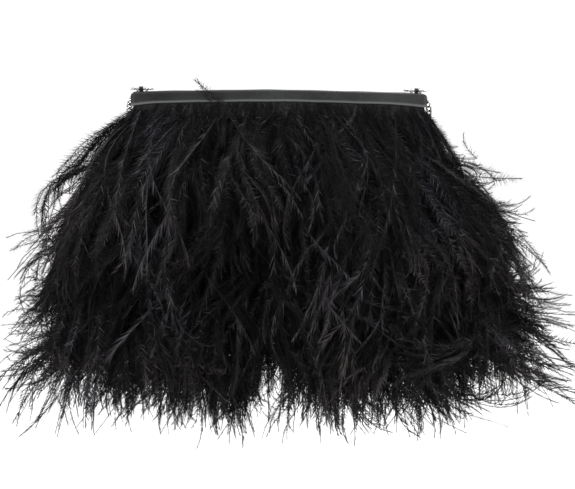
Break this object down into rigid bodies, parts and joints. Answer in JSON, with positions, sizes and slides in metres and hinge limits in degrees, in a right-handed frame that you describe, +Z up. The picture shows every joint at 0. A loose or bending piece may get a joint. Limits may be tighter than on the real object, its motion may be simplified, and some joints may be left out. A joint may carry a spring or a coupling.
{
  "type": "feathered evening bag",
  "caption": "Small evening bag covered in tiers of long black ostrich feathers, with a slim leather rim, magnetic snap and a silver chain strap.",
  "frame": {"origin": "middle of the rim's top, midway between the two halves, where a hand grips the closed bag", "axes": "+Z up, +X along the rim to the right seen from the front, -Y out of the front feathers"},
  "size_m": [0.452, 0.184, 0.2654],
  "materials": {
    "rim_leather": "satin",
    "satin_shell": "satin",
    "lining_cloth": "satin",
    "fibre_board": "matte",
    "ostrich_feather": "matte",
    "feather_tape": "matte",
    "spring_steel": "satin",
    "snap_metal": "satin",
    "silver_chain": "polished"
  },
  "bodies": {
    "root": {"back_panel": "satin_shell", "back_lining": "lining_cloth", "back_rim_stiffener": "spring_steel", "back_rim_binding": "rim_leather", "base_board": "fibre_board", "base_cover": "rim_leather", "lining_base": "lining_cloth", "slip_pocket": "lining_cloth", "gusset_left": "satin_shell", "gusset_right": "satin_shell", "magnet_socket": "snap_metal", "magnet_socket_plate": "snap_metal", "ring_tab_left": "rim_leather", "ring_tab_right": "rim_leather", "feather_tape_back_1": "feather_tape", "feather_tape_back_2": "feather_tape", "feather_tape_back_3": "feather_tape", "feather_tape_back_4": "feather_tape", "feather_tape_back_5": "feather_tape", "feather_tape_back_6": "feather_tape", "feathers_back_1": "ostrich_feather", "feathers_back_2": "ostrich_feather", "feathers_back_3": "ostrich_feather", "feathers_back_4": "ostrich_feather", "feathers_back_5": "ostrich_feather", "feathers_back_6": "ostrich_feather"},
    "front": {"front_panel": "satin_shell", "front_lining": "lining_cloth", "front_rim_stiffener": "spring_steel", "front_rim_binding": "rim_leather", "magnet_stud": "snap_metal", "magnet_stud_plate": "snap_metal", "feather_tape_front_1": "feather_tape", "feather_tape_front_2": "feather_tape", "feather_tape_front_3": "feather_tape", "feather_tape_front_4": "feather_tape", "feather_tape_front_5": "feather_tape", "feather_tape_front_6": "feather_tape", "feathers_front_1": "ostrich_feather", "feathers_front_2": "ostrich_feather", "feathers_front_3": "ostrich_feather", "feathers_front_4": "ostrich_feather", "feathers_front_5": "ostrich_feather", "feathers_front_6": "ostrich_feather"},
    "ring_left": {"strap_ring_left": "silver_chain"},
    "ring_right": {"strap_ring_right": "silver_chain"},
    "strap": {"chain_strand_outer": "silver_chain", "chain_strand_inner": "silver_chain", "end_link_left_outer": "silver_chain", "end_link_left_inner": "silver_chain", "end_link_right_outer": "silver_chain", "end_link_right_inner": "silver_chain"}
  },
  "joints": [
    {"name": "mouth_open", "type": "hinge", "parent": "root", "child": "front", "pos_m": [0, -0.022, -0.18], "axis": [1, 0, 0], "range_deg": [0, 16]},
    {"name": "ring_left_swing", "type": "hinge", "parent": "root", "child": "ring_left", "pos_m": [-0.107, 0, 0.0006], "axis": [1, 0, 0], "range_deg": [0, 98]},
    {"name": "ring_right_swing", "type": "hinge", "parent": "root", "child": "ring_right", "pos_m": [0.107, 0, 0.0006], "axis": [1, 0, 0], "range_deg": [0, 98]},
    {"name": "strap_swing", "type": "hinge", "parent": "ring_left", "child": "strap", "pos_m": [-0.107, 0.01008, -0.00046], "axis": [1, 0, 0], "range_deg": [0, 56]}
  ],
  "couplings": [
    {"joint": "ring_right_swing", "follows": "ring_left_swing", "ratio": 1}
  ]
}
